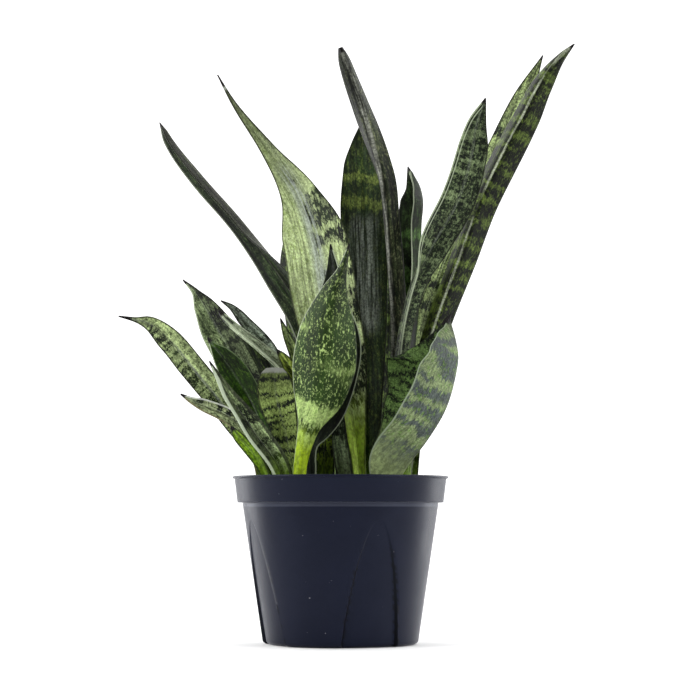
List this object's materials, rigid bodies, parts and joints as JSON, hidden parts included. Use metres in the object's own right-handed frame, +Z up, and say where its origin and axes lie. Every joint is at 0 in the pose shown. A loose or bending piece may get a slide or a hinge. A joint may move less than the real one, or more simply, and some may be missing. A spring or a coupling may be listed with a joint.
{
  "type": "potted snake plant",
  "caption": "Snake plant with stiff upright, banded sword-shaped leaves fanning out of a tapered nursery pot with a rim band and arched side recesses.",
  "frame": {"origin": "centre of the pot's flat underside, on the surface it stands on", "axes": "+Z up, +X to the viewer's right, -Y towards the viewer"},
  "size_m": [0.3226, 0.1561, 0.4341],
  "materials": {
    "pot": "satin moulded plastic",
    "soil": "loose bark and peat mix",
    "leaf_dark": "waxy dark green leaf with paler bands",
    "leaf_pale": "waxy pale green leaf with dark bands",
    "leaf_bright": "waxy yellow-green leaf"
  },
  "bodies": {
    "root": {"pot": "pot", "potting_soil": "soil", "leaf_tall_left_dark": "leaf_dark", "leaf_tall_left_light": "leaf_pale", "leaf_tall_centre_twist": "leaf_dark", "leaf_tall_centre_dark": "leaf_dark", "leaf_centre_right_small": "leaf_dark", "leaf_front_centre": "leaf_pale", "leaf_right_centre_twist": "leaf_dark", "leaf_tall_right_rear": "leaf_dark", "leaf_tall_right_front": "leaf_dark", "leaf_right_front_low": "leaf_dark", "leaf_left_low_arch": "leaf_dark", "leaf_left_mid_upright": "leaf_dark", "leaf_left_small_curl": "leaf_dark", "leaf_left_strip": "leaf_pale", "leaf_left_mid_dark": "leaf_dark", "leaf_left_low_small": "leaf_dark", "leaf_left_low_bright": "leaf_bright", "leaf_left_front_fold": "leaf_dark", "leaf_left_blunt": "leaf_dark", "leaf_left_inner_pale": "leaf_pale", "leaf_left_inner_short": "leaf_bright", "leaf_front_centre_inner": "leaf_dark", "leaf_inner_olive": "leaf_bright", "leaf_inner_banded": "leaf_dark", "leaf_back_left": "leaf_dark", "leaf_back_small": "leaf_dark", "leaf_back_centre": "leaf_dark", "leaf_back_right": "leaf_dark"}
  },
  "joints": []
}
